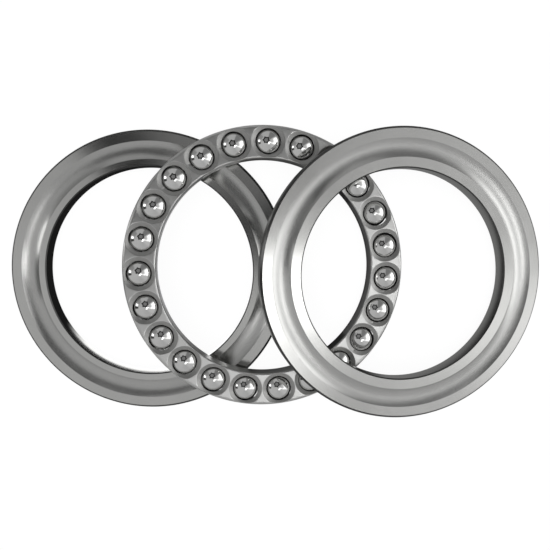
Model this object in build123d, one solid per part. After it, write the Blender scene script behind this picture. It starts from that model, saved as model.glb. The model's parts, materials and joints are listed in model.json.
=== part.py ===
from build123d import *
import os
from math import cos, degrees, radians, sin, sqrt

# Single-direction thrust ball bearing for a 65 mm shaft, opened and laid out in a fan on a flat
# surface: the housing washer lies flat with its raceway up, the caged ball set leans on it, and the
# shaft washer leans on the ball set. Millimetres. The origin is the centre of the housing washer's
# back face, +Z is the housing washer's axis and +X points along the fan, towards the shaft washer.

# ---- driving dimensions: boundary sizes of the standard bearing
SHAFT_BORE = 65.0
HOUSING_BORE = 67.0
OUTSIDE_DIAMETER = 90.0
BEARING_HEIGHT = 18.0

# ---- driving dimensions: ball set and raceways
BALL_COUNT = 23
BALL_DIAMETER = 8.731
PITCH_RADIUS = 38.6
RACEWAY_RADIUS = 4.67
RACEWAY_DEPTH = 0.96
MOUNTING_CORNER = 1.0
FREE_CORNER = 0.4
RACE_SIDE_EDGE = 0.7
RACE_SIDE_BORE_EDGE = 0.35

# ---- driving dimensions: pressed cage
SHEET = 0.45
CAGE_INNER_RADIUS = 33.45
CAGE_OUTER_RADIUS = 43.55
CAGE_TOP = 3.2
CAGE_BOTTOM = -2.6
INNER_BEND_RADIUS = 0.55
OUTER_BEND_RADIUS = 1.0
LIP_INNER_RADIUS = 34.65
LIP_OUTER_RADIUS = 42.55
POCKET_PLAY = 0.355
RIM_DROP = 0.6
DISH_RADIUS = 5.15
CONE_RUN_IN = 1.0
POCKET_WALL_BOTTOM = 1.0
OVERRUN = 0.1

# ---- driving dimensions: how the pieces lie
BALL_SET_CENTRE = (37.33, 1.67)
BALL_SET_LEAN = 6.51
BALL_SET_LEAN_DIRECTION = 2.54
SHAFT_WASHER_CENTRE = (79.90, -0.43)
SHAFT_WASHER_LEAN = 9.65
SHAFT_WASHER_LEAN_DIRECTION = 0.83
FIRST_BALL_ANGLE = -5.43
FLOOR_CLEARANCE = 0.03

# Balls that lie against one side of their pocket: ball number, and its shift along the ball circle.
SHIFTED_BALLS = {
    2: -0.20,
    3: 0.24,
    18: -0.12,
    20: -0.20,
    22: -0.22,
}

# ---- derived dimensions
BALL_RADIUS = BALL_DIAMETER / 2
OUTSIDE_RADIUS = OUTSIDE_DIAMETER / 2
WASHER_THICKNESS = (BEARING_HEIGHT - BALL_DIAMETER) / 2 + RACEWAY_DEPTH
POCKET_SPHERE_RADIUS = BALL_RADIUS + POCKET_PLAY
RIM_HEIGHT = CAGE_TOP - RIM_DROP
RIM_RADIUS = sqrt(POCKET_SPHERE_RADIUS**2 - RIM_HEIGHT**2)


def washer(bore, bore_corner, outside_corner):
    """A flat ring with a raceway groove in its top face and its back face on z = 0."""
    width = OUTSIDE_RADIUS - bore / 2
    blank = Pos(bore / 2 + width / 2, WASHER_THICKNESS / 2) * Rectangle(width, WASHER_THICKNESS)
    back = blank.vertices().group_by(Axis.Y)[0].sort_by(Axis.X)
    blank = fillet(back[-1], outside_corner)
    blank = fillet(blank.vertices().group_by(Axis.Y)[0].sort_by(Axis.X)[0], bore_corner)
    blank = chamfer(blank.vertices().group_by(Axis.Y)[-1].sort_by(Axis.X)[-1], RACE_SIDE_EDGE)
    blank = chamfer(blank.vertices().group_by(Axis.Y)[-1].sort_by(Axis.X)[0], RACE_SIDE_BORE_EDGE)
    groove_centre = WASHER_THICKNESS - RACEWAY_DEPTH + RACEWAY_RADIUS
    section = blank - Pos(PITCH_RADIUS, groove_centre) * Circle(RACEWAY_RADIUS)
    return revolve(Plane.XZ * section, Axis.Z)


def channel_section(inset, bottom):
    """The cage's channel outline in (radius, height), drawn in from its outside by inset."""
    inner = CAGE_INNER_RADIUS + inset
    outer = CAGE_OUTER_RADIUS - inset
    top = CAGE_TOP - inset
    outline = Pos((inner + outer) / 2, (top + bottom) / 2) * Rectangle(outer - inner, top - bottom)
    outline = fillet(outline.vertices().group_by(Axis.Y)[-1].sort_by(Axis.X)[0], INNER_BEND_RADIUS - inset)
    return fillet(outline.vertices().group_by(Axis.Y)[-1].sort_by(Axis.X)[-1], OUTER_BEND_RADIUS - inset)


def ring_of(section):
    """A (radius, height) section turned once about Z."""
    return revolve(Plane.XZ * section, Axis.Z)


def turned(points):
    """A closed outline of (radius, height) points turned once about Z."""
    return ring_of(make_face(Polyline(*points, close=True)))


def cage():
    """A pressed channel ring: open below, with one dished pocket in its top for each ball.

    Heights are measured from the plane of the ball centres. The channel's lower edges are turned in,
    and the pocket rims are narrower than a ball, so that neither side lets the balls out.
    """
    envelope = ring_of(channel_section(0, CAGE_BOTTOM))
    lip_top = CAGE_BOTTOM + SHEET
    mouth_middle = (LIP_INNER_RADIUS + LIP_OUTER_RADIUS) / 2
    mouth = Rectangle(LIP_OUTER_RADIUS - LIP_INNER_RADIUS, SHEET + 2 * OVERRUN)
    mouth = Pos(mouth_middle, CAGE_BOTTOM + SHEET / 2) * mouth
    hollow = ring_of(channel_section(SHEET, lip_top)) + ring_of(mouth)

    slope = RIM_DROP / (DISH_RADIUS - RIM_RADIUS)
    below = SHEET * sqrt(1 + slope**2)
    dish_start = RIM_RADIUS - CONE_RUN_IN
    dish_floor = RIM_HEIGHT - slope * CONE_RUN_IN - below
    dish_top = CAGE_TOP - SHEET
    dish_end = RIM_RADIUS + (dish_top - RIM_HEIGHT + below) / slope
    dish = turned([
        (0, dish_floor),
        (dish_start, dish_floor),
        (dish_end, dish_top),
        (dish_end, dish_top + OVERRUN),
        (0, dish_top + OVERRUN),
    ])
    recess = turned([
        (0, RIM_HEIGHT),
        (RIM_RADIUS, RIM_HEIGHT),
        (DISH_RADIUS + OVERRUN / slope, CAGE_TOP + OVERRUN),
        (0, CAGE_TOP + OVERRUN),
    ])
    wall_bottom = Plane.XY.offset(POCKET_WALL_BOTTOM)
    ball_space = split(Sphere(POCKET_SPHERE_RADIUS), bisect_by=wall_bottom, keep=Keep.TOP)

    places = [Rot(0, 0, pocket_angle(number)) * Pos(PITCH_RADIUS, 0, 0) for number in ball_numbers()]
    hollow = hollow - [place * dish for place in places]
    pressed = envelope - hollow
    return pressed - [place * recess for place in places] - [place * ball_space for place in places]


def ball_numbers():
    return range(1, BALL_COUNT + 1)


def pocket_angle(number):
    """The angle of a pocket about the cage's axis, in degrees."""
    return FIRST_BALL_ANGLE + (number - 1) * 360 / BALL_COUNT


def ball_angle(number):
    """The angle of a ball about the cage's axis, in degrees."""
    return pocket_angle(number) + degrees(SHIFTED_BALLS.get(number, 0) / PITCH_RADIUS)


def leaning_plane(centre, lean, direction):
    """A plane at centre whose normal leans from +Z by lean degrees, towards direction degrees."""
    tilt = radians(lean)
    heading = radians(direction)
    normal = Vector(sin(tilt) * cos(heading), sin(tilt) * sin(heading), cos(tilt))
    return Plane(origin=centre, x_dir=Vector(0, 1, 0).cross(normal), z_dir=normal)


def ball_set_plane():
    """The plane of the ball centres, with the lowest ball just clear of the surface."""
    height = PITCH_RADIUS * sin(radians(BALL_SET_LEAN)) + BALL_RADIUS + FLOOR_CLEARANCE
    return leaning_plane((*BALL_SET_CENTRE, height), BALL_SET_LEAN, BALL_SET_LEAN_DIRECTION)


def shaft_washer_plane():
    """The shaft washer's back face, with its lowest edge just clear of the surface."""
    tilt = radians(SHAFT_WASHER_LEAN)
    corner_drop = FREE_CORNER * (1 - cos(tilt))
    height = (OUTSIDE_RADIUS - FREE_CORNER) * sin(tilt) + corner_drop + FLOOR_CLEARANCE
    centre = (*SHAFT_WASHER_CENTRE, height)
    return leaning_plane(centre, SHAFT_WASHER_LEAN, SHAFT_WASHER_LEAN_DIRECTION)


def ball(number):
    """One ball in its pocket, in the cage's own frame, with its poles on the axis it rolls about."""
    return Rot(0, 0, ball_angle(number)) * Pos(PITCH_RADIUS, 0, 0) * Rot(0, 90, 0) * Sphere(BALL_RADIUS)


def build_parts():
    """Every piece of the bearing where it lies, by name."""
    ball_set = ball_set_plane().location
    parts = {
        "housing_washer": washer(HOUSING_BORE, FREE_CORNER, MOUNTING_CORNER),
        "cage": ball_set * cage(),
        "shaft_washer": shaft_washer_plane().location * washer(SHAFT_BORE, MOUNTING_CORNER, FREE_CORNER),
    }
    for number in ball_numbers():
        parts[f"ball_{number:02d}"] = ball_set * ball(number)
    return parts


def describe(name, plane):
    """Print a piece's centre and axis, for its joint."""
    centre = tuple(round(value, 5) for value in plane.origin)
    axis = tuple(round(value, 7) for value in plane.z_dir)
    print(f"{name}: centre {centre} mm, axis {axis}")


os.makedirs("parts", exist_ok=True)
for part_name, solid in build_parts().items():
    solid.label = part_name
    export_step(solid, f"parts/{part_name}.step")
describe("ball set", ball_set_plane())
describe("shaft washer", shaft_washer_plane())
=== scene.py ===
import json
from math import atan2, cos, exp, hypot, pi, sin, sqrt

import bpy
from mathutils import Matrix, Vector


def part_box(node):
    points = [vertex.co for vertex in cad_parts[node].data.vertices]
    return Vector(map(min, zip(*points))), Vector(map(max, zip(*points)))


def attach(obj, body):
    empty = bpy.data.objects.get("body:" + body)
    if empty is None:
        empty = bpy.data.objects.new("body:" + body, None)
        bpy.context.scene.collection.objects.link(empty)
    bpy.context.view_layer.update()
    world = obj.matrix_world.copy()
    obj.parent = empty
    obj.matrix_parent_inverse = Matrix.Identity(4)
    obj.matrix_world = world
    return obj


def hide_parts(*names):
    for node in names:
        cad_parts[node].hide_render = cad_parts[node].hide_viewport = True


# A thrust ball bearing laid out in a fan: housing washer, caged balls, shaft washer. Every length is
# in metres. The washers and the cage are replaced by finer meshes of the same size, and the balls
# are the frame's own.

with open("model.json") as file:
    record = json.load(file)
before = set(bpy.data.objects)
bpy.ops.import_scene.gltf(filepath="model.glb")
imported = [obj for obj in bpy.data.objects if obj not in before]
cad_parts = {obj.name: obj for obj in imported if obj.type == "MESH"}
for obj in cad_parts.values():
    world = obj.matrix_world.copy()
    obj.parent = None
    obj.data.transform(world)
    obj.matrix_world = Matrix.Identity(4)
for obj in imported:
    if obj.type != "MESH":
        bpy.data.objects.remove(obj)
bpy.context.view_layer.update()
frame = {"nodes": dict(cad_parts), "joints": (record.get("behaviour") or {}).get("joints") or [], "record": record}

MM = 0.001
JOINTS = {joint["name"]: joint for joint in frame["joints"]}
MOUNTS = {mount["name"]: mount for mount in frame["record"]["mounts"]}

# ---- washers
SHAFT_BORE_RADIUS = MOUNTS["shaft_seat"]["dims"]["r_mm"] * MM
HOUSING_BORE_RADIUS = MOUNTS["housing_washer_bore"]["dims"]["r_mm"] * MM
OUTSIDE_RADIUS = MOUNTS["housing_seat"]["dims"]["r_mm"] * MM
WASHER_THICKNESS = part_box("housing_washer")[1].z
PITCH_RADIUS = 38.6 * MM
RACEWAY_RADIUS = 4.67 * MM
RACEWAY_DEPTH = 0.96 * MM
MOUNTING_CORNER = 1.0 * MM
FREE_CORNER = 0.4 * MM
RACE_SIDE_EDGE = 0.7 * MM
RACE_SIDE_BORE_EDGE = 0.35 * MM
SHOULDER_ROUND = 0.07 * MM
WASHER_SEGMENTS = 360

# ---- cage, with heights above the plane of the ball centres
BALL_NAMES = sorted(name for name in frame["nodes"] if name.startswith("ball_"))
SHEET = 0.45 * MM
CAGE_INNER_RADIUS = 33.45 * MM
CAGE_OUTER_RADIUS = 43.55 * MM
CAGE_TOP = 3.2 * MM
CAGE_BOTTOM = -2.6 * MM
INNER_BEND_RADIUS = 0.55 * MM
OUTER_BEND_RADIUS = 1.0 * MM
LIP_INNER_RADIUS = 34.65 * MM
LIP_OUTER_RADIUS = 42.55 * MM
POCKET_SPHERE_RADIUS = 4.7205 * MM
RIM_HEIGHT = 2.6 * MM
RIM_RADIUS = sqrt(POCKET_SPHERE_RADIUS**2 - RIM_HEIGHT**2)
DISH_RADIUS = 5.15 * MM
UNDER_RIM_RADIUS = 4.17 * MM
FOOT_RADIUS = 0.3 * MM
BLEND = 0.08 * MM
STAKE_OFFSET = 4.3 * MM
STAKE_SIZE = 0.35 * MM
STAKE_DEPTH = 0.12 * MM
SLOPE_STEP = 0.01 * MM
BORDER_CROWDING = 1.8
HALVINGS = 30
POCKET_RAYS = (16, 28, 16)
DISH_STEPS = 7
LAND_STEPS = 12
WALL_STEPS = 4
BEND_STEPS = 5
WALL_COLUMNS = 28

# ---- material slots of the washers and of the cage, and linear colours
GROUND, RACEWAY, WALL, EDGE = range(4)
SATIN, DISH = range(2)
WASHER_COLOUR = (0.66, 0.66, 0.645)
RACEWAY_COLOUR = (0.60, 0.60, 0.588)
# The chamfers' near-black colour is painted shade: it draws the dark lines that reflections give the washers'
# edges.
EDGE_PAINTED_SHADE_COLOUR = (0.10, 0.10, 0.098)
CAGE_COLOUR = (0.66, 0.66, 0.65)
# The dish round each pocket is darker than the flats: painted shade in the dished recess round the ball.
DISH_PAINTED_SHADE_COLOUR = (0.45, 0.45, 0.44)
BALL_COLOUR = (0.82, 0.82, 0.81)

# ---- studio
DISC_SEGMENTS = 96
FLOOR_RADIUS = 3.0
CARD_RADIUS = 0.6
CARD_HEIGHT = -0.02 * MM
HOOD_SPIKES = 6
HOOD_CENTRE = (0.005, 0.088, 0.230)
HOOD_AIM = (0.04, 0.0, 0.0)
HOOD_RADII = ((0.138, 0.096), (0.077, 0.053))


# ---------------------------------------------------------------- helpers


def add_object(name, data):
    """A new object in the scene."""
    thing = bpy.data.objects.new(name, data)
    bpy.context.scene.collection.objects.link(thing)
    return thing


class Nodes:
    """A node tree with short calls for the nodes that the materials here are made of."""

    def __init__(self, tree):
        self.tree = tree
        tree.nodes.clear()

    def new(self, kind, **settings):
        node = self.tree.nodes.new(kind)
        for name, value in settings.items():
            setattr(node, name, value)
        return node

    def feed(self, socket, value):
        """Links a socket's value in, or sets it when it is a plain number or colour."""
        if isinstance(value, bpy.types.NodeSocket):
            self.tree.links.new(value, socket)
        else:
            socket.default_value = value

    def math(self, operation, first, second=0.0, third=0.0):
        node = self.new("ShaderNodeMath", operation=operation)
        for socket, value in zip(node.inputs, (first, second, third)):
            self.feed(socket, value)
        return node.outputs[0]

    def add(self, *values):
        total = values[0]
        for value in values[1:]:
            total = self.math("ADD", total, value)
        return total

    def times(self, *values):
        product = values[0]
        for value in values[1:]:
            product = self.math("MULTIPLY", product, value)
        return product

    def ramp(self, value, start, end, low=0.0, high=1.0):
        """low below start, high above end, and a smooth change between."""
        node = self.new("ShaderNodeMapRange", interpolation_type="SMOOTHSTEP")
        for socket, number in zip(node.inputs, (value, start, end, low, high)):
            self.feed(socket, number)
        return node.outputs[0]

    def window(self, value, start, end, soft):
        """1 between start and end, falling smoothly to 0 over soft at each side."""
        rise = self.ramp(value, start - soft / 2, start + soft / 2)
        fall = self.ramp(value, end - soft / 2, end + soft / 2, 1.0, 0.0)
        return self.times(rise, fall)

    def split(self, vector):
        node = self.new("ShaderNodeSeparateXYZ")
        self.feed(node.inputs[0], vector)
        return node.outputs

    def join(self, x, y, z):
        node = self.new("ShaderNodeCombineXYZ")
        for socket, value in zip(node.inputs, (x, y, z)):
            self.feed(socket, value)
        return node.outputs[0]

    def noise(self, vector, scale, detail, roughness):
        node = self.new("ShaderNodeTexNoise")
        self.feed(node.inputs["Vector"], vector)
        node.inputs["Scale"].default_value = scale
        node.inputs["Detail"].default_value = detail
        node.inputs["Roughness"].default_value = roughness
        return node.outputs[0]


def new_material(name):
    """An empty node material, with its nodes and the socket that its surface shader goes into."""
    material = bpy.data.materials.new(name)
    material.use_nodes = True
    n = Nodes(material.node_tree)
    return material, n, n.new("ShaderNodeOutputMaterial").inputs["Surface"]


# ---------------------------------------------------------------- studio


def studio_world():
    """The studio's light by direction: soft grey walls, softboxes and dark flags."""
    world = bpy.data.worlds.new("studio")
    world.use_nodes = True
    bpy.context.scene.world = world
    n = Nodes(world.node_tree)
    direction = n.new("ShaderNodeTexCoord").outputs["Generated"]
    x, y, z = n.split(direction)
    azimuth = n.math("MULTIPLY", n.math("ARCTAN2", y, x), 180 / pi)
    zenith = n.math("MULTIPLY", n.math("ARCCOSINE", z), 180 / pi)

    # Azimuths run from -180 to 180 degrees with 0 on the right, and zenith angles from 0 overhead.
    # First the grey walls with their dark flags, which take light away.
    level = n.ramp(azimuth, -140, -50, 0.36, 0.31)
    wedge = n.times(n.window(azimuth, 36, 76, 10), n.window(zenith, 24, 112, 12))
    level = n.math("MULTIPLY_ADD", wedge, -0.17, level)
    corner = n.times(n.window(azimuth, 128, 158, 12), n.window(zenith, 50, 100, 12))
    level = n.math("MULTIPLY_ADD", corner, -0.12, level)
    left_flag = n.times(n.window(azimuth, -180, -166, 5), n.window(zenith, 56, 92, 8))
    level = n.math("MULTIPLY_ADD", left_flag, -0.34, level)
    level = n.math("MAXIMUM", level, 0.03)

    # The softboxes on the walls.
    glow = n.times(n.window(azimuth, -54, 36, 30), n.ramp(zenith, 24, 34))
    level = n.math("MULTIPLY_ADD", glow, 0.08, level)
    softbox = n.times(n.window(azimuth, -16, 28, 18), n.ramp(zenith, 42, 74))
    softbox = n.times(softbox, n.ramp(zenith, 96, 106, 1.0, 0.0))
    level = n.math("MULTIPLY_ADD", softbox, 1.15, level)
    left_box = n.times(n.window(azimuth, 164, 177, 4), n.window(zenith, 62, 84, 6))
    level = n.math("MULTIPLY_ADD", left_box, 1.4, level)
    streak = n.times(n.window(azimuth, -22, -6, 10), n.window(zenith, 28, 58, 14))
    level = n.math("MULTIPLY_ADD", streak, 0.4, level)

    # A lamp and a panel in the ceiling, placed by the tangents of their angles from the vertical.
    overhead = n.ramp(z, 0.3, 0.4)
    ceiling_x = n.math("DIVIDE", x, z)
    ceiling_y = n.math("DIVIDE", y, z)
    panel = n.times(n.window(ceiling_x, 0.10, 0.38, 0.10), n.window(ceiling_y, -0.38, -0.20, 0.06))
    level = n.math("MULTIPLY_ADD", n.times(panel, overhead), 1.0, level)
    lamp = n.times(n.window(ceiling_x, 0.20, 0.52, 0.06), n.window(ceiling_y, -0.18, -0.05, 0.05))
    level = n.math("MULTIPLY_ADD", n.times(lamp, overhead), 2.0, level)

    # Nothing shines from below the horizon.
    level = n.times(level, n.ramp(z, -0.1, -0.02))
    background = n.new("ShaderNodeBackground")
    n.feed(background.inputs["Color"], n.join(level, level, level))
    background.inputs["Strength"].default_value = 1.35

    # The camera sees a plain white room.
    plain = n.new("ShaderNodeBackground")
    plain.inputs["Color"].default_value = (1, 1, 1, 1)
    choose = n.new("ShaderNodeMixShader")
    n.feed(choose.inputs[0], n.new("ShaderNodeLightPath").outputs["Is Camera Ray"])
    n.feed(choose.inputs[1], background.outputs[0])
    n.feed(choose.inputs[2], plain.outputs[0])
    output = n.new("ShaderNodeOutputWorld")
    n.feed(output.inputs[0], choose.outputs[0])


def flat_disc(name, radius, height):
    """A horizontal disc of one many-sided face round the origin."""
    turns = [2 * pi * k / DISC_SEGMENTS for k in range(DISC_SEGMENTS)]
    corners = [(radius * cos(turn), radius * sin(turn), height) for turn in turns]
    mesh = bpy.data.meshes.new(name)
    mesh.from_pydata(corners, [], [range(DISC_SEGMENTS)])
    return add_object(name, mesh)


def only_in_reflections(thing):
    """Leaves an object to shiny surfaces alone: it isn't seen and casts neither light nor shadow."""
    thing.visible_camera = False
    thing.visible_diffuse = False
    thing.visible_shadow = False


def floor():
    """The white surface that the pieces lie on, which glows so that only faint shadows are left.

    Polished metal sees the card below in its place.
    """
    disc = flat_disc("floor", FLOOR_RADIUS, 0.0)
    material, n, surface = new_material("floor_white")
    shader = n.new("ShaderNodeBsdfPrincipled")
    shader.inputs["Base Color"].default_value = (0.02, 0.02, 0.02, 1)
    shader.inputs["Roughness"].default_value = 0.9
    shader.inputs["Specular IOR Level"].default_value = 0.0
    shader.inputs["Emission Color"].default_value = (1, 1, 1, 1)
    shader.inputs["Emission Strength"].default_value = 0.95
    n.feed(surface, shader.outputs[0])
    disc.data.materials.append(material)
    disc.visible_glossy = False


def reflection_card():
    """Painted reflections of the floor, for polished metal to see in its place: painted shade, dark under the
    rings, and grey round them.
    """
    disc = flat_disc("reflection_card", CARD_RADIUS, CARD_HEIGHT)
    material, n, surface = new_material("card")
    x, y, _z = n.split(n.new("ShaderNodeNewGeometry").outputs["Position"])

    def distance(centre):
        across = n.math("SUBTRACT", x, centre[0])
        along = n.math("SUBTRACT", y, centre[1])
        return n.math("SQRT", n.add(n.times(across, across), n.times(along, along)))

    from_housing_washer = distance((0, 0))
    from_cage = distance(JOINTS["cage_spin"]["pos_m"])
    from_shaft_washer = distance(JOINTS["shaft_washer_spin"]["pos_m"])

    # Painted floor shade for the reflections: grey under the right side of the shaft washer's bore, and dark grey
    # inside the cage.
    in_shaft_bore = n.window(from_shaft_washer, 0.0272, 0.036, 0.0007)
    bore_grey = n.times(in_shaft_bore, n.ramp(x, 0.070, 0.080, 0.0, 0.2))
    cage_floor_painted_shade = n.ramp(from_cage, 0.030, 0.032, 0.09, 0.0)
    cage_floor_painted_shade = n.times(cage_floor_painted_shade, n.math("SUBTRACT", 1.0, in_shaft_bore))

    # Painted light for the reflections at the front foot of the housing washer's bore, and at the cage's inner
    # wall on the left.
    angle = n.math("MULTIPLY", n.math("ARCTAN2", y, x), 180 / pi)
    bore_foot_painted_light = n.window(from_housing_washer, 0.0324, 0.0345, 0.0003)
    bore_foot_painted_light = n.times(bore_foot_painted_light, n.window(angle, -140, -30, 20), 1.5)
    cage_foot_painted_light = n.window(from_cage, 0.0318, 0.0355, 0.0006)
    cage_foot_painted_light = n.times(cage_foot_painted_light, n.ramp(x, 0.006, 0.024, 0.75, 0.0))

    # Grey outside all three rings.
    around = n.ramp(from_housing_washer, 0.0455, 0.050)
    around = n.times(around, n.ramp(from_shaft_washer, 0.0455, 0.050))
    around = n.times(around, n.ramp(from_cage, 0.044, 0.048, 0.0, 0.3))
    level = n.add(bore_grey, cage_floor_painted_shade, cage_foot_painted_light, bore_foot_painted_light, around, 0.012)
    emission = n.new("ShaderNodeEmission")
    n.feed(emission.inputs["Color"], n.join(level, level, level))
    n.feed(surface, emission.outputs[0])
    disc.data.materials.append(material)
    only_in_reflections(disc)


def camera_hood():
    """The star-shaped hood round the camera, a black ring round a grey disc, seen in every ball."""
    count = 2 * HOOD_SPIKES
    centre = Vector(HOOD_CENTRE)
    aim = Vector(HOOD_AIM) - centre
    turn = aim.to_track_quat("-Z", "Y").to_matrix().to_4x4()
    corners = []
    for long_radius, short_radius in HOOD_RADII:
        for k in range(count):
            radius = short_radius if k % 2 else long_radius
            angle = pi / 2 + pi * k / HOOD_SPIKES
            corners.append(turn @ Vector((radius * cos(angle), radius * sin(angle), 0)) + centre)
    faces = [(k, (k + 1) % count, count + (k + 1) % count, count + k) for k in range(count)]
    faces.append(range(count, 2 * count))
    mesh = bpy.data.meshes.new("camera_hood")
    mesh.from_pydata(corners, [], faces)
    for name, level in (("hood_black", 0.02), ("hood_grey", 0.19)):
        material, n, surface = new_material(name)
        emission = n.new("ShaderNodeEmission")
        emission.inputs["Color"].default_value = (level, level, level, 1)
        n.feed(surface, emission.outputs[0])
        mesh.materials.append(material)
    mesh.polygons[count].material_index = 1
    hood = add_object("camera_hood", mesh)
    only_in_reflections(hood)


def floor_light():
    """A large soft light for the floor alone, so that the metal keeps the room's own reflections."""
    data = bpy.data.lights.new("floor_light", "AREA")
    data.shape = "DISK"
    data.size = 1.4
    data.energy = 44
    light = add_object("floor_light", data)
    light.location = (0.04, 0.0, 1.1)
    light.visible_glossy = False
    light.visible_camera = False


def camera():
    """Nearly straight above the fan, a little towards the back."""
    data = bpy.data.cameras.new("camera")
    data.lens = 35.975
    data.sensor_width = 36.0
    data.clip_start = 0.005
    view = add_object("camera", data)
    view.location = (0.0435813, 0.0137900, 0.1816532)
    view.rotation_euler = (-0.0847427, 0.0168627, 0)
    bpy.context.scene.camera = view


# ---------------------------------------------------------------- materials


def steel(name, build):
    """Bare steel: a metallic shader, with colour, roughness and bump worked out by build."""
    material, n, surface = new_material(name)
    shader = n.new("ShaderNodeBsdfPrincipled")
    shader.inputs["Metallic"].default_value = 1.0
    build(n, shader)
    n.feed(surface, shader.outputs[0])
    return material


def bump(n, shader, height, distance):
    """Shades the surface as if height lifted it by up to distance."""
    node = n.new("ShaderNodeBump")
    node.inputs["Strength"].default_value = 1.0
    node.inputs["Distance"].default_value = distance
    n.feed(node.inputs["Height"], height)
    n.feed(shader.inputs["Normal"], node.outputs[0])


def tinted(n, shader, colour, value, spread):
    """The base colour, lighter and darker by spread as value runs from 0 to 1."""
    factor = n.ramp(value, 0.25, 0.75, 1 - spread, 1 + spread)
    scaled = n.new("ShaderNodeVectorMath", operation="SCALE")
    scaled.inputs[0].default_value = colour
    n.feed(scaled.inputs["Scale"], factor)
    n.feed(shader.inputs["Base Color"], scaled.outputs[0])


def turned_finish(colour, ring_size, ring_depth, rough_low, rough_high, across):
    """Fine concentric tool marks, with slow patches of duller and brighter metal."""

    def build(n, shader):
        # The noise hardly changes round the axis, so it makes rings.
        place = n.new("ShaderNodeTexCoord").outputs["Object"]
        x, y, height = n.split(place)
        radius = n.math("SQRT", n.add(n.times(x, x), n.times(y, y)))
        section = n.add(radius, n.times(height, 0.7))
        swirl = n.join(n.times(x, 0.03), n.times(y, 0.03), section)
        rings = n.noise(swirl, 1 / ring_size, 3.0, 0.6)
        patches = n.noise(place, 90, 4.0, 0.55)
        tinted(n, shader, colour, patches, 0.03)
        wear = n.add(n.times(rings, 0.5), n.times(patches, 0.5))
        n.feed(shader.inputs["Roughness"], n.ramp(wear, 0.3, 0.7, rough_low, rough_high))
        # The tool marks run round the piece, so they blur reflections across the marks.
        around = n.new("ShaderNodeTangent", direction_type="RADIAL", axis="Z")
        n.feed(shader.inputs["Tangent"], around.outputs[0])
        shader.inputs["Anisotropic"].default_value = across
        shader.inputs["Anisotropic Rotation"].default_value = 0.25
        bump(n, shader, rings, ring_depth)

    return build


def cage_finish(colour, rough_low, rough_high):
    """Pressed sheet: faint mottling and a fine grain."""

    def build(n, shader):
        place = n.new("ShaderNodeTexCoord").outputs["Object"]
        grain = n.noise(place, 600, 2.0, 0.5)
        patches = n.noise(place, 180, 3.0, 0.5)
        tinted(n, shader, colour, patches, 0.03)
        n.feed(shader.inputs["Roughness"], n.ramp(patches, 0.3, 0.7, rough_low, rough_high))
        bump(n, shader, grain, 0.0006 * MM)

    return build


def ball_finish(colour):
    """Lapped to a mirror, with the faintest scuffs."""

    def build(n, shader):
        place = n.new("ShaderNodeTexCoord").outputs["Object"]
        scuffs = n.noise(place, 900, 5.0, 0.65)
        tinted(n, shader, colour, scuffs, 0.02)
        n.feed(shader.inputs["Roughness"], n.ramp(scuffs, 0.45, 0.75, 0.025, 0.07))

    return build


# ---------------------------------------------------------------- meshes


def arc(centre_r, centre_z, radius, start, end, steps, hollow=False):
    """Points (radius, height, normal r, normal z) along an arc of the section, angles in radians."""
    side = -1 if hollow else 1
    points = []
    for k in range(steps + 1):
        angle = start + (end - start) * k / steps
        c, s = cos(angle), sin(angle)
        points.append((centre_r + radius * c, centre_z + radius * s, side * c, side * s))
    return points


def straight(start, end, steps=1):
    """Points along a straight stretch of the section, with the normal to its right-hand side."""
    dr = end[0] - start[0]
    dz = end[1] - start[1]
    length = hypot(dr, dz)
    points = []
    for k in range(steps + 1):
        points.append((start[0] + dr * k / steps, start[1] + dz * k / steps, dz / length, -dr / length))
    return points


def washer_section(bore, bore_corner, outside_corner):
    """The washer's closed section, from the back face's bore side round to the bore wall.

    Each stretch comes with the slot of the material that it takes.
    """
    top = WASHER_THICKNESS
    outside = OUTSIDE_RADIUS
    groove_centre = top - RACEWAY_DEPTH + RACEWAY_RADIUS
    round_height = top - SHOULDER_ROUND
    round_offset = sqrt((RACEWAY_RADIUS + SHOULDER_ROUND) ** 2 - (groove_centre - round_height) ** 2)
    lean = atan2(groove_centre - round_height, round_offset)
    edge = RACE_SIDE_EDGE
    bore_edge = RACE_SIDE_BORE_EDGE
    outer_round = PITCH_RADIUS + round_offset
    inner_round = PITCH_RADIUS - round_offset
    return [
        (GROUND, straight((bore + bore_corner, 0), (outside - outside_corner, 0), 6)),
        (WALL, arc(outside - outside_corner, outside_corner, outside_corner, -pi / 2, 0, 10)),
        (WALL, straight((outside, outside_corner), (outside, top - edge), 4)),
        (EDGE, straight((outside, top - edge), (outside - edge, top))),
        (GROUND, straight((outside - edge, top), (outer_round, top), 5)),
        (RACEWAY, arc(outer_round, round_height, SHOULDER_ROUND, pi / 2, pi - lean, 5)),
        (RACEWAY, arc(PITCH_RADIUS, groove_centre, RACEWAY_RADIUS, -lean, -pi + lean, 40, hollow=True)),
        (RACEWAY, arc(inner_round, round_height, SHOULDER_ROUND, lean, pi / 2, 5)),
        (GROUND, straight((inner_round, top), (bore + bore_edge, top), 5)),
        (EDGE, straight((bore + bore_edge, top), (bore, top - bore_edge))),
        (WALL, straight((bore, top - bore_edge), (bore, bore_corner), 4)),
        (WALL, arc(bore + bore_corner, bore_corner, bore_corner, pi, 3 * pi / 2, 10)),
    ]


def add_mesh(name, vertices, faces, normals, slots, place):
    """A smooth mesh at place, from one normal for each corner and one material slot for each face."""
    mesh = bpy.data.meshes.new(name)
    mesh.from_pydata(vertices, [], faces)
    mesh.polygons.foreach_set("material_index", slots)
    mesh.polygons.foreach_set("use_smooth", [True] * len(faces))
    mesh.normals_split_custom_set(normals)
    piece = add_object(name, mesh)
    piece.matrix_world = place
    return piece


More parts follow.
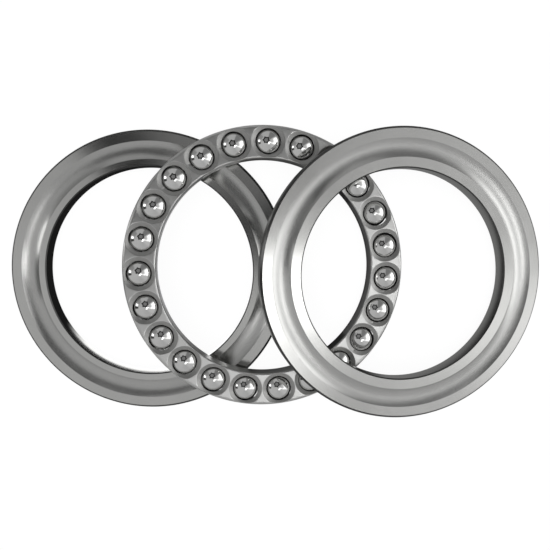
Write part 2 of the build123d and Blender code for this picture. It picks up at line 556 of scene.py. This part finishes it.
def lathe(name, section, place):
    """Turns a closed section about Z, with the section's own normals, and puts it at place."""
    rows = []
    faces = []
    normals = []
    slots = []
    for _slot, points in section:
        rows.extend(points[:-1])
    count = len(rows)
    segments = WASHER_SEGMENTS
    turns = [(cos(2 * pi * k / segments), sin(2 * pi * k / segments)) for k in range(segments)]
    vertices = [(r * c, r * s, z) for c, s in turns for r, z, _nr, _nz in rows]
    first = 0
    for slot, points in section:
        for k in range(len(points) - 1):
            a = first + k
            b = (a + 1) % count
            for t in range(segments):
                u = (t + 1) % segments
                faces.append((t * count + a, u * count + a, u * count + b, t * count + b))
                slots.append(slot)
                for point, ends in ((points[k], (t, u)), (points[k + 1], (u, t))):
                    for turn in ends:
                        c, s = turns[turn]
                        normals.append((point[2] * c, point[2] * s, point[3]))
        first += len(points) - 1
    return add_mesh(name, vertices, faces, normals, slots, place)


def placed(origin, axis):
    """A piece's frame: its axis as Z, and X in the plane of the axis and the fan's direction."""
    z = Vector(axis).normalized()
    x = Vector((0, 1, 0)).cross(z).normalized()
    y = z.cross(x)
    turn = Matrix((x, y, z)).transposed().to_4x4()
    return Matrix.Translation(origin) @ turn


def add_washer(node, section, place, materials):
    """One washer's fine mesh, in place of its CAD node."""
    piece = lathe(node + "_fine", section, place)
    for material in materials:
        piece.data.materials.append(material)
    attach(piece, node)
    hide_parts(node)


def add_washers():
    """Both washers: the housing washer on the frame's origin, the shaft washer on its joint."""
    ground = turned_finish(WASHER_COLOUR, 0.35 * MM, 0.0008 * MM, 0.16, 0.2, 0.6)
    raceway = turned_finish(RACEWAY_COLOUR, 0.5 * MM, 0.0008 * MM, 0.24, 0.27, 0.95)
    wall = turned_finish(WASHER_COLOUR, 0.25 * MM, 0.001 * MM, 0.15, 0.2, 0.6)
    # The chamfers take the near-black colour, painted shade that draws the dark edge lines.
    edge = turned_finish(EDGE_PAINTED_SHADE_COLOUR, 0.2 * MM, 0.001 * MM, 0.25, 0.35, 0.5)
    materials = (
        steel("washer_ground", ground),
        steel("washer_raceway", raceway),
        steel("washer_wall", wall),
        steel("washer_edge_painted_shade", edge),
    )
    housing = washer_section(HOUSING_BORE_RADIUS, FREE_CORNER, MOUNTING_CORNER)
    add_washer("housing_washer", housing, placed((0, 0, 0), (0, 0, 1)), materials)

    # The joint's axis points out of the shaft washer's back face.
    spin = JOINTS["shaft_washer_spin"]
    axis = -Vector(spin["axis"])
    origin = Vector(spin["pos_m"]) - axis.normalized() * WASHER_THICKNESS / 2
    shaft = washer_section(SHAFT_BORE_RADIUS, MOUNTING_CORNER, FREE_CORNER)
    add_washer("shaft_washer", shaft, placed(origin, axis), materials)


def dress_balls():
    """The mirror finish on the frame's own balls."""
    material = steel("ball_mirror", ball_finish(BALL_COLOUR))
    for name in BALL_NAMES:
        frame["nodes"][name].data.materials.clear()
        frame["nodes"][name].data.materials.append(material)


def channel_height(radius, inset):
    """Height of the cage's top face, or of its underside, at a radius, with the bends at its edges."""
    top = CAGE_TOP - inset
    inner_bend = INNER_BEND_RADIUS - inset
    outer_bend = OUTER_BEND_RADIUS - inset
    past_inner = CAGE_INNER_RADIUS + inset + inner_bend - radius
    past_outer = radius - (CAGE_OUTER_RADIUS - inset - outer_bend)
    for beyond, bend in ((past_inner, inner_bend), (past_outer, outer_bend)):
        if beyond > 0:
            return top - bend + sqrt(max(0.0, bend**2 - beyond**2))
    return top


def dish_height(across, along, inset):
    """Height of a pocket's dish, at a point radially across and tangentially along from its centre."""
    slope = (CAGE_TOP - RIM_HEIGHT) / (DISH_RADIUS - RIM_RADIUS)
    return RIM_HEIGHT + (hypot(across, along) - RIM_RADIUS) * slope - inset * sqrt(1 + slope * slope)


def land_height(across, along, inset):
    """Height of the channel round the dish, at a point given in the same way."""
    return channel_height(hypot(PITCH_RADIUS + across, along), inset)


def sheet_height(across, along, inset):
    """Height of the pressed sheet: the dish or the channel, with a rounded crease between them."""
    dish = dish_height(across, along, inset)
    flat = land_height(across, along, inset)
    meet = max(0.0, 1 - abs(dish - flat) / BLEND)
    height = min(dish, flat) - BLEND * meet * meet / 4
    for side in (-1, 1):
        stake = hypot(across, along - side * STAKE_OFFSET) / STAKE_SIZE
        height -= STAKE_DEPTH * exp(-stake * stake)
    return height


def sheet_point(across, along, inset):
    """A vertex on the sheet and its upward normal, from the heights just round it."""
    step = SLOPE_STEP
    height = sheet_height(across, along, inset)
    pull_x = 1 if across < 0 else -1
    pull_y = 1 if along < 0 else -1
    slope_x = (sheet_height(across + pull_x * step, along, inset) - height) / (pull_x * step)
    slope_y = (sheet_height(across, along + pull_y * step, inset) - height) / (pull_y * step)
    return Vector((PITCH_RADIUS + across, along, height)), Vector((-slope_x, -slope_y, 1)).normalized()


def pocket_reach(angle, inset):
    """Plan distance from a pocket's centre to its sector's border."""
    c, s = cos(angle), sin(angle)
    half = pi / len(BALL_NAMES)
    reaches = []
    for border, wall in (("inner", CAGE_INNER_RADIUS + inset), ("outer", CAGE_OUTER_RADIUS - inset)):
        inside = (PITCH_RADIUS * c) ** 2 - PITCH_RADIUS**2 + wall**2
        if inside > 0:
            root = -PITCH_RADIUS * c + (sqrt(inside) if border == "outer" else -sqrt(inside))
            if root > 0:
                reaches.append(root)
    facing = abs(s) * cos(half) - c * sin(half)
    if facing > 0:
        reaches.append(PITCH_RADIUS * sin(half) / facing)
    return min(reaches)


def dish_end(angle, inset, start, reach):
    """Plan distance along a ray at which the dish comes up to the channel's face."""
    low, high = start, reach
    for _halving in range(HALVINGS):
        middle = (low + high) / 2
        across, along = middle * cos(angle), middle * sin(angle)
        if dish_height(across, along, inset) < land_height(across, along, inset):
            low = middle
        else:
            high = middle
    return low


def pocket_rays(inset):
    """Ray angles round a pocket, with its sector's four corners among them, mirrored side to side."""
    half = pi / len(BALL_NAMES)
    stops = [0.0]
    for wall in (CAGE_OUTER_RADIUS - inset, CAGE_INNER_RADIUS + inset):
        stops.append(atan2(wall * sin(half), wall * cos(half) - PITCH_RADIUS))
    stops.append(pi)
    upper = []
    for start, end, steps in zip(stops, stops[1:], POCKET_RAYS):
        upper.extend(start + (end - start) * (1 - cos(pi * k / steps)) / 2 for k in range(steps))
    return upper + [pi] + [-angle for angle in reversed(upper[1:])] + [0.0]


def wall_profile(border):
    """(radius, height, normal) points down a cage wall, round its foot to the lip and up its inside."""
    inward = border == "outer"
    sign = 1 if inward else -1
    wall = CAGE_OUTER_RADIUS if inward else CAGE_INNER_RADIUS
    lip = LIP_OUTER_RADIUS if inward else LIP_INNER_RADIUS
    bend = OUTER_BEND_RADIUS if inward else INNER_BEND_RADIUS
    foot = FOOT_RADIUS
    points = []

    def put(offset, height, normal_out, normal_up):
        points.append((wall - sign * offset, height, sign * normal_out, normal_up))

    for k in range(WALL_STEPS + 1):
        put(0, CAGE_TOP - bend + (CAGE_BOTTOM + foot - CAGE_TOP + bend) * k / WALL_STEPS, 1, 0)
    for k in range(1, BEND_STEPS + 1):
        turn = pi / 2 * k / BEND_STEPS
        put(foot - foot * cos(turn), CAGE_BOTTOM + foot - foot * sin(turn), cos(turn), -sin(turn))
    reach = abs(wall - lip)
    put(reach, CAGE_BOTTOM, 0, -1)
    put(reach, CAGE_BOTTOM, -1, 0)
    put(reach, CAGE_BOTTOM + SHEET, -1, 0)
    put(reach, CAGE_BOTTOM + SHEET, 0, 1)
    put(SHEET, CAGE_BOTTOM + SHEET, 0, 1)
    put(SHEET, CAGE_BOTTOM + SHEET, -1, 0)
    put(SHEET, CAGE_TOP - bend, -1, 0)
    return points


class Surface:
    """Vertices, faces, corner normals and material slots gathered for one mesh."""

    def __init__(self):
        self.vertices = []
        self.faces = []
        self.normals = []
        self.slots = []

    def strip(self, first, second, slot, flip=False):
        """A band of quads between two rows of (point, normal) of the same length."""
        for k in range(len(first) - 1):
            corners = [first[k], first[k + 1], second[k + 1], second[k]]
            if flip:
                corners.reverse()
            start = len(self.vertices)
            self.vertices.extend(point for point, _normal in corners)
            self.normals.extend(normal for _point, normal in corners)
            self.faces.append(tuple(range(start, start + 4)))
            self.slots.append(slot)


def add_sheet(surface, turn):
    """The top sheet round one pocket, turned about the cage's axis, with the wall of its hole."""
    centre = turn @ Vector((PITCH_RADIUS, 0, 0))
    hole = []
    for inset, facing, start in ((0.0, 1, RIM_RADIUS), (SHEET, -1, UNDER_RIM_RADIUS)):
        rows = [[] for _step in range(DISH_STEPS + LAND_STEPS + 1)]
        for angle in pocket_rays(inset):
            reach = pocket_reach(angle, inset)
            end = dish_end(angle, inset, start, reach)
            stops = [start + (end - start) * k / DISH_STEPS for k in range(DISH_STEPS)]
            left = [(1 - k / LAND_STEPS) ** BORDER_CROWDING for k in range(LAND_STEPS + 1)]
            stops += [reach - (reach - end) * part for part in left]
            for row, away in zip(rows, stops):
                point, normal = sheet_point(away * cos(angle), away * sin(angle), inset)
                row.append((turn @ point, turn @ normal * facing))
        for step in range(DISH_STEPS + LAND_STEPS):
            slot = DISH if step < DISH_STEPS else SATIN
            surface.strip(rows[step], rows[step + 1], slot, flip=facing > 0)
        hole.append([(point, (centre - point).normalized()) for point, _normal in rows[0]])
    surface.strip(hole[0], hole[1], DISH)


def add_walls(surface, turn):
    """The two side walls and lips beside one pocket, turned about the cage's axis."""
    half = pi / len(BALL_NAMES)
    for border in ("inner", "outer"):
        rows = []
        for r, z, normal_out, normal_up in wall_profile(border):
            row = []
            for k in range(WALL_COLUMNS + 1):
                angle = -half + 2 * half * k / WALL_COLUMNS
                c, s = cos(angle), sin(angle)
                normal = Vector((normal_out * c, normal_out * s, normal_up))
                row.append((turn @ Vector((r * c, r * s, z)), turn @ normal))
            rows.append(row)
        for upper, lower in zip(rows, rows[1:]):
            surface.strip(upper, lower, SATIN, flip=border == "outer")


def add_cage():
    """The pressed cage as one sheet: dished pockets, bends, walls and turned-in lips.

    Its pockets start at the first ball and follow each other evenly round its axis.
    """
    surface = Surface()
    spin = JOINTS["cage_spin"]
    place = placed(spin["pos_m"], spin["axis"])
    first = place.inverted() @ Vector(JOINTS["ball_01_spin"]["pos_m"])
    for number in range(len(BALL_NAMES)):
        turn = Matrix.Rotation(atan2(first.y, first.x) + 2 * pi * number / len(BALL_NAMES), 3, "Z")
        add_sheet(surface, turn)
        add_walls(surface, turn)
    piece = add_mesh("cage_fine", surface.vertices, surface.faces, surface.normals, surface.slots, place)
    piece.data.materials.append(steel("cage_satin", cage_finish(CAGE_COLOUR, 0.29, 0.36)))
    # The dishes and the pocket walls take the darker colour, which is painted shade round the balls.
    piece.data.materials.append(steel("cage_dish_painted_shade", cage_finish(DISH_PAINTED_SHADE_COLOUR, 0.42, 0.5)))
    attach(piece, "cage")
    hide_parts("cage")


bpy.context.scene.view_settings.view_transform = "Standard"
camera()
studio_world()
floor()
reflection_card()
camera_hood()
floor_light()
add_washers()
dress_balls()
add_cage()
